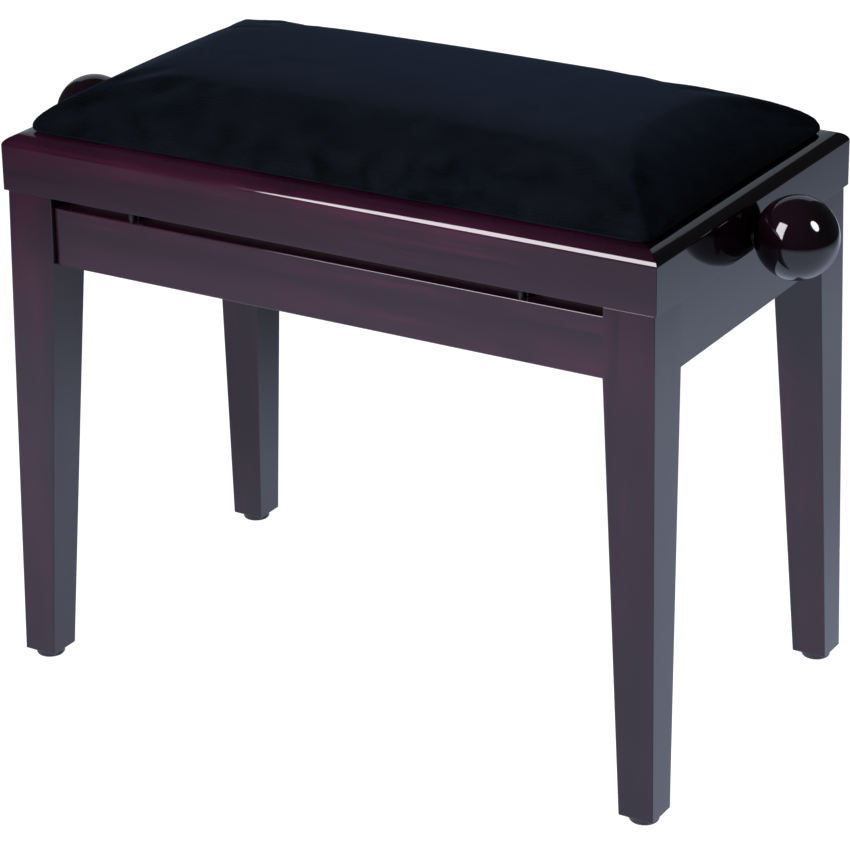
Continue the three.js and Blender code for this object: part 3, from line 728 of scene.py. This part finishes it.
for side, sx in SIDES.items():
    for face, sy in FACES.items():
        low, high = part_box(f"leg_bolt_{face}_{side}")
        middle = (low + high) / 2
        inward = Vector((-sx, -sy, 0)).normalized()
        length = (high.x - low.x) / MM * math.sqrt(2) - 8
        bolt_at = middle - inward * (length / 2) * MM
        bolt = turned(f"leg_bolt_{face}_{side}_stud", [
            (0, 3.4), (0.6, 4), *thread(length - 18, length - 1.4, 4, 3.4, 1.25),
            (length - 0.6, 3.9), (length, 3.3)], bolt_at, inward, 24)
        hand_over(bolt, "base", zinc, "zinc_steel", f"leg_bolt_{face}_{side}")
print("bars done,", round(length, 1), "mm bolts")

# %% [markdown]
# ## Screws
#
# Cross-head screws hold the rails, brackets and corner blocks. One head is turned as a flat
# dome, its cross is cut by two crossed blocks, and copies are laid wherever a screw goes in.

# %% Screws
head = turned("screw_head", [(-0.6, 2.2), (0, 3.8), (0.25, 3.8), (0.5, 3.1)], (0, 0, 0), Z, 24)
for wide, deep in ((3.8, 0.8), (0.8, 3.8)):
    cut(head, block("cross", (-wide / 2 * MM, -deep / 2 * MM, -0.3 * MM),
                    (wide / 2 * MM, deep / 2 * MM, MM)))


def screw(name, at, axis, body):
    """A copy of the screw head whose flat side faces along the axis."""
    copy = twin(head, name)
    copy.rotation_euler = Vector(axis).to_track_quat("Z", "Y").to_euler()
    copy.location = at
    take(copy)
    bpy.ops.object.transform_apply(location=True, rotation=True, scale=True)
    shade(copy, 30)
    hand_over(copy, body, zinc, "zinc_steel")


for face, sy in FACES.items():
    low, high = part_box(f"upper_rail_{face}")
    under = high.z - 3 * MM
    for i, x in enumerate((-0.165, -0.055, 0.055, 0.165)):
        screw(f"rail_screw_{face}_{i}", (x, (low.y + high.y) / 2 - sy * 2 * MM, under), -Z, "seat")
    low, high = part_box(f"lower_rail_{face}")
    inside = sy * min(abs(low.y), abs(high.y))
    for i, x in enumerate((-0.174, -0.06, 0.06, 0.174)):
        screw(f"apron_screw_{face}_{i}", (x, inside, low.z + 7 * MM), (0, -sy, 0), "base")
    for side, sx in SIDES.items():
        low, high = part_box(f"corner_bracket_{face}_{side}")
        plate_y = (high.y if sy > 0 else low.y) - sy * 2.5 * MM
        plate_x = (high.x if sx > 0 else low.x) - sx * 2.5 * MM
        level = (low.z + high.z) / 2
        screw(f"bracket_screw_long_{face}_{side}",
              ((low.x if sx > 0 else high.x) + sx * 9 * MM, plate_y, level), (0, -sy, 0), "base")
        screw(f"bracket_screw_side_{face}_{side}",
              (plate_x, (low.y if sy > 0 else high.y) + sy * 9 * MM, level), (-sx, 0, 0), "base")
        low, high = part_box(f"corner_block_{face}_{side}")
        screw(f"block_screw_{face}_{side}",
              ((high.x if sx > 0 else low.x) - sx * 11 * MM,
               (high.y if sy > 0 else low.y) - sy * 11 * MM, low.z), -Z, "seat")
bpy.data.objects.remove(head)

print("screws", sum("screw_" in name for name in made))

# %% [markdown]
# ## Stop pins
#
# Four grooved pins stand on the long aprons, ending just below the lowered seat frame. A pin is
# turned like the bars, its groove as two narrower stations, then mirrored to the other corners.

# %% Stop pins
STOP_FROM_MIDDLE = 0.168  # metres
apron_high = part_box("apron_rear")[1]
stop = turned("stop", [(0, 2.6), (4.2, 2.6), (4.5, 1.9), (5.2, 1.9), (5.5, 2.6), (8.2, 2.6),
                       (8.8, 2.0)],
              (STOP_FROM_MIDDLE, apron_high.y - 6 * MM, apron_high.z), Z, 24)
for side, sx in SIDES.items():
    for face, sy in FACES.items():
        pin = twin(stop, f"stop_pin_{face}_{side}", (sx, sy, 1))
        shade(pin, 30)
        hand_over(pin, "base", enamel, "black_steel")
bpy.data.objects.remove(stop)
print("stop pins", sum("stop_pin" in name for name in made))

# %% [markdown]
# ## Cushion
#
# The seat is foam under stretched velour, stapled below the board. It stands on a narrow upright
# rim and rolls over to a low dome; between its corners the cloth pulls the sides in by a millimetre
# or two. A box is subdivided and its vertices are moved onto that form, a little lower than the
# finished cushion. Then the cloth is blown up: the form is remeshed evenly, given Cloth with a
# small inner pressure, held along its lower edge and left to settle.

# %% Cushion form
low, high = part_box("seat_cushion")
centre = (low + high) / 2
half_x, half_y = (high.x - low.x) / 2, (high.y - low.y) / 2
RIM = 4.5 * MM  # upright edge
ROLL = 33 * MM  # height of the rolled-over part
ROLL_RUN = 86 * MM  # how far in it reaches
DOME = 10 * MM  # rise of the top's middle above that
CORNER = 11 * MM  # radius of the corners in the plan
END_FULL = 1.2  # how much steeper the ends rise than the long sides
RIDGE = 4  # a higher power gives a sharper ridge from each corner
PULL = 1.6 * MM  # how far a side is drawn in between its corners
SHRINK = 3 * MM  # the form is lower than the finished cushion, which swells
OUTSET = 2.5 * MM  # and wider, because the remesh rounds its thin rim off


def crown(x, y, lower=0.0):
    """Height of the cushion's top above its base at a point, for a form that much lower."""
    from_end = max(half_x - abs(x), 0.1 * MM) * END_FULL
    from_side = max(half_y - abs(y), 0.1 * MM)
    edge = (from_end ** -RIDGE + from_side ** -RIDGE) ** (-1 / RIDGE)
    run = 1 - min(edge / ROLL_RUN, 1)
    dome = (1 - (x / half_x) ** 2) * (1 - (y / half_y) ** 2)
    return RIM + (ROLL - lower) * math.sqrt(1 - run * run) + DOME * dome


def into_form(u, v):
    """A point of the square plan, -1 to 1 each way, on the cushion's plan."""
    wide, deep = half_x + OUTSET, half_y + OUTSET
    x, y = wide * u, deep * v
    over_x, over_y = abs(x) - (wide - CORNER), abs(y) - (deep - CORNER)
    if over_x > 0 and over_y > 0:
        pull = max(over_x, over_y) / math.hypot(over_x, over_y)
        x = math.copysign(wide - CORNER + over_x * pull, x)
        y = math.copysign(deep - CORNER + over_y * pull, y)
    waist_x = PULL * (1 - v * v) * u ** 8
    waist_y = PULL * (1 - u * u) * v ** 8
    return x - math.copysign(waist_x, x), y - math.copysign(waist_y, y)


def spread(t):
    """Gathers evenly spaced lines towards the rim, where the surface bends most."""
    return math.copysign(1 - (1 - abs(t)) ** 1.7, t)


bpy.ops.object.select_all(action="DESELECT")
bpy.ops.mesh.primitive_cube_add(size=2)
cushion = bpy.context.active_object
cushion.name = "seat_cushion_pad"
edit(cushion)
bpy.ops.mesh.subdivide(number_cuts=47)
bpy.ops.object.mode_set(mode="OBJECT")
base = low.z + 0.2 * MM
for vertex in cushion.data.vertices:
    u, v, w = vertex.co
    x, y = into_form(spread(u), spread(v))
    vertex.co = (centre.x + x, centre.y + y, base + (w + 1) / 2 * crown(x, y, SHRINK))
apply(cushion, "REMESH", mode="VOXEL", voxel_size=4 * MM, adaptivity=0.0)
print("cushion form", len(cushion.data.vertices), "vertices after the remesh")

# %% [markdown]
# ## Blowing the cushion up
#
# Pressure pushes every face outwards and the cloth's stiffness evens it out, which gives the small
# irregular fullness that a formula can't. Points near the base are pinned, as the staples hold
# them. How far a point may move is capped, so the cushion keeps its size, and no point may sink
# into the frame. One subdivision smooths the result.

# %% Cushion simulation
CAP = 4 * MM  # the furthest a point may move
HELD = 3 * MM  # height above the base up to which the cloth is stapled
FRAMES = 20
held = cushion.vertex_groups.new(name="held")
for vertex in cushion.data.vertices:
    height = vertex.co.z - base
    held.add([vertex.index], 1.0 if height < HELD else 0.0, "REPLACE")
before = [vertex.co.copy() for vertex in cushion.data.vertices]
take(cushion)
cloth = cushion.modifiers.new("Cloth", "CLOTH")
cloth.settings.quality = 6
cloth.settings.mass = 0.3
cloth.settings.tension_stiffness = 20
cloth.settings.compression_stiffness = 20
cloth.settings.bending_stiffness = 6
cloth.settings.use_pressure = True
cloth.settings.uniform_pressure_force = 4
cloth.settings.vertex_group_mass = "held"
cloth.settings.effector_weights.gravity = 0
cloth.point_cache.frame_end = FRAMES
for step in range(1, FRAMES + 1):
    bpy.context.scene.frame_set(step)
bpy.ops.object.modifier_apply(modifier=cloth.name)
bpy.context.scene.frame_set(1)
furthest = 0
for vertex, start_at in zip(cushion.data.vertices, before):
    move = vertex.co - start_at
    furthest = max(furthest, move.length)
    if move.length > CAP:
        move *= CAP / move.length
    vertex.co = start_at + move
    vertex.co.z = max(vertex.co.z, base)
print("cloth moved up to", round(furthest / MM, 1), "mm, capped at", CAP / MM)
apply(cushion, "SUBSURF", levels=1, render_levels=1)
print("cushion", len(cushion.data.polygons), "faces")

# %% [markdown]
# ## Creases and the cloth's own map
#
# A few shallow creases lie near the left end, towards the rear corner, where the cloth was drawn
# tight. They are pressed in after the remesh, which would have wiped them out. The cloth's map
# measures across the seat along the curved section, so that the ribs keep their spacing down the
# rolled edge.

# %% Creases and UV map
CREASES = [  # two ends in the plan as shares of the half sizes, depth and half width in mm
    ((-0.86, 0.55), (-0.50, 0.62), 0.8, 3.5),
    ((-0.93, 0.30), (-0.62, 0.42), 0.6, 4.0),
    ((-0.97, -0.02), (-0.82, 0.10), 0.5, 3.5),
]
for (u0, v0), (u1, v1), depth, width in CREASES:
    start = Vector((u0 * half_x, v0 * half_y))
    run = Vector((u1 * half_x, v1 * half_y)) - start
    for vertex in cushion.data.vertices:
        flat = Vector((vertex.co.x, vertex.co.y)) - start
        t = flat.dot(run) / run.length_squared
        if 0 < t < 1:
            off = (flat - run * t).length / (width * MM)
            vertex.co.z -= depth * MM * math.exp(-off * off) * math.sin(math.pi * t)

steps = 400
section = [0.0]
for i in range(steps):
    y0, y1 = half_y * i / steps, half_y * (i + 1) / steps
    section.append(section[-1] + math.hypot(y1 - y0, crown(0, y1) - crown(0, y0)))
cloth_map = cushion.data.uv_layers.new(name="cloth")
for loop in cushion.data.loops:
    at = cushion.data.vertices[loop.vertex_index].co
    share = min(abs(at.y) / half_y, 1) * steps
    index = min(int(share), steps - 1)
    across = section[index] + (section[index + 1] - section[index]) * (share - index)
    drop = max(crown(0, half_y * 0.999) + low.z - at.z, 0) if abs(at.y) > half_y * 0.985 else 0
    cloth_map.data[loop.index].uv = (at.x, math.copysign(across + drop, at.y))
take(cushion)
bpy.ops.object.shade_smooth()
hand_over(cushion, "seat", velour, "velour", "seat_cushion")
print("section length across the cushion", round(2 * section[-1], 4))

# %% [markdown]
# ## Studio
#
# The bench stands on a pale floor. Polished lacquer shows what surrounds it, so the studio is laid
# out for its reflections: a lit sheet on the floor that the upright faces mirror, a white wall
# behind the bench, and two soft boxes that give the highlights. Past the sheet the room is dark,
# which keeps the rolled edges dark. The sheet's glow is painted light: a lit middle fading to its
# edge, with three round dark patches, painted shadows of the bench behind it and to its left and
# painted shade in the far right corner, away from the lamps. They were placed and set to darken
# what parts of the wood mirror.
# The sheet is seen only as a reflection and the floor only directly. The lamps are never seen
# themselves, and the world is pale to the camera and nearly black to everything else.

# %% Floor and reflected sheet


def stage_plane(name, low, high, look):
    """A rectangle on the floor between two corners."""
    low, high = Vector(low), Vector(high)
    bpy.ops.object.select_all(action="DESELECT")
    bpy.ops.mesh.primitive_plane_add(size=1, location=(low + high) / 2)
    plane = bpy.context.active_object
    plane.name = name
    plane.scale = (high.x - low.x, high.y - low.y, 1)
    bpy.ops.object.transform_apply(location=True, rotation=True, scale=True)
    plane.data.materials.append(look)
    plane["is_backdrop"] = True
    return plane


def one_way(tree, shown):
    """Shows a plane from above only, so that the bench can be looked at from below."""
    clear = add(tree, "ShaderNodeBsdfTransparent")
    under = add(tree, "ShaderNodeNewGeometry")
    chosen = add(tree, "ShaderNodeMixShader", {}, {
        0: under.outputs["Backfacing"], 1: shown, 2: clear.outputs["BSDF"]})
    tree.links.new(chosen.outputs["Shader"], tree.nodes["Material Output"].inputs["Surface"])


paper, tree, shader = new_look("matt_white_paper", Roughness=0.9, Emission_Strength=1.0)
shader.inputs["Base Color"].default_value = colour("#5a5a5a")
shader.inputs["Emission Color"].default_value = (1, 1, 1, 1)
one_way(tree, shader.outputs["BSDF"])
floor = stage_plane("floor", (-6, -6, 0), (6, 6, 0), paper)
floor.visible_glossy = False

lit, tree, shader = new_look("lit_sheet")
where = add(tree, "ShaderNodeTexCoord")
light = None
# Painted light on the glowing sheet: a painted pool of light in the middle, painted shadows of the
# bench behind it and to its left, and painted shade at the far right.
for spot, start, end, inside, outside in (
    ((0.1, 0.15, 0), 1.0, 2.1, 0.86, 0.03),  # the sheet's lit middle, fading to its edge
    ((0.05, 0.75, 0), 0.15, 0.65, 0.32, 1.0),  # a dark patch behind the bench
    ((1.05, 1.15, 0), 0.1, 0.8, 0.52, 1.0),  # a dark patch at the far right
    ((-0.6, 0.0, 0), 0.1, 0.5, 0.65, 1.0),  # a dark patch to the left
):
    out = add(tree, "ShaderNodeVectorMath", {"operation": "DISTANCE", 1: spot},
              {0: where.outputs["Object"]})
    fade = add(tree, "ShaderNodeMapRange",
               {"interpolation_type": "SMOOTHSTEP", "From Min": start, "From Max": end,
                "To Min": inside, "To Max": outside}, {"Value": out.outputs["Value"]})
    if light is None:
        light = fade.outputs["Result"]
    else:
        light = add(tree, "ShaderNodeMath", {"operation": "MULTIPLY"},
                    {0: light, 1: fade.outputs["Result"]}).outputs["Value"]
glow = add(tree, "ShaderNodeEmission", {"Color": (1, 1.13, 1.47, 1)},
           {"Strength": light})
one_way(tree, glow.outputs["Emission"])
sheet = stage_plane("reflected_sheet", (-2.5, -2.5, 0.0005), (2.5, 2.5, 0.0005), lit)
sheet.visible_camera = False
sheet.visible_diffuse = False
sheet.visible_shadow = False
print("floor and sheet done")

# %% [markdown]
# ## Lamps
#
# The soft boxes and the white wall are what the lacquer mirrors: a bright line along the front
# moulding, two windows on the ball knob and a grey band on the end. Lacquer shows its red stain
# only by scattered light, so three fill lamps light the wood without appearing in it. The side
# soft box is the opposite: it is only mirrored. All were placed and set one by one.

# %% Lamps and world


def soft_box(name, direction, distance, wide, tall, radiance, tint, shape="RECTANGLE",
             aim=(0, 0, 0.3)):
    """A flat lamp that faces the bench, with the brightness its surface shows."""
    aim = Vector(aim)
    direction = Vector(direction).normalized()
    area = wide * tall * (math.pi / 4 if shape == "ELLIPSE" else 1)
    bpy.ops.object.light_add(
        type="AREA", location=aim + direction * distance,
        rotation=direction.to_track_quat("Z", "Y").to_euler())
    lamp = bpy.context.active_object
    lamp.name = name
    lamp.data.shape = shape
    lamp.data.size, lamp.data.size_y = wide, tall
    lamp.data.color = tint
    lamp.data.energy = radiance * math.pi * area
    lamp.visible_camera = False
    print(name, round(lamp.data.energy, 1), "W")
    return lamp


soft_box("front_soft_box", (-0.285, -0.815, 0.50), 2.0, 0.88, 1.6, 17, (1, 0.95, 1))
side_box = soft_box("side_soft_box", (0.81, -0.02, 0.58), 1.8, 0.44, 0.7, 26, (1, 1, 1),
                    "ELLIPSE")
side_box.visible_diffuse = False
end_fill = soft_box("end_fill", (0.9, -0.1, 0.55), 2.2, 0.8, 0.8, 8, (0.75, 0.9, 1.1))
fill = soft_box("front_fill", (-0.32, -0.80, 0.22), 1.9, 0.5, 0.5, 4.5, (1, 0.85, 1),
                aim=(0.1, -0.16, 0.41))
fill.data.spread = math.radians(25)
back = soft_box("back_fill", (-0.45, 0.85, 0.12), 2.4, 1.2, 0.8, 1.6, (1, 0.85, 1))
for lamp in (end_fill, fill, back):
    lamp.visible_glossy = False
soft_box("white_wall", (-0.52, 0.854, 0.38), 2.6, 2.7, 1.8, 0.45, (0.85, 0.95, 1.1))

world = bpy.data.worlds.new("studio")
bpy.context.scene.world = world
world.use_nodes = True
tree = world.node_tree
ray = add(tree, "ShaderNodeLightPath")
seen = add(tree, "ShaderNodeBackground", {"Color": (1, 1, 1, 1), "Strength": 1.0})
dark = tree.nodes["Background"]
dark.inputs["Color"].default_value = (0.75, 0.9, 1.0, 1)
dark.inputs["Strength"].default_value = 0.05
mixed = add(tree, "ShaderNodeMixShader", {}, {
    0: ray.outputs["Is Camera Ray"], 1: dark.outputs["Background"],
    2: seen.outputs["Background"]})
tree.links.new(mixed.outputs["Shader"], tree.nodes["World Output"].inputs["Surface"])
bpy.context.scene.view_settings.view_transform = "Standard"
print("studio lit")

# %% Sizes and finish
low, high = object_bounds()
print("visual box", [round(v, 4) for v in (*low, *high)])
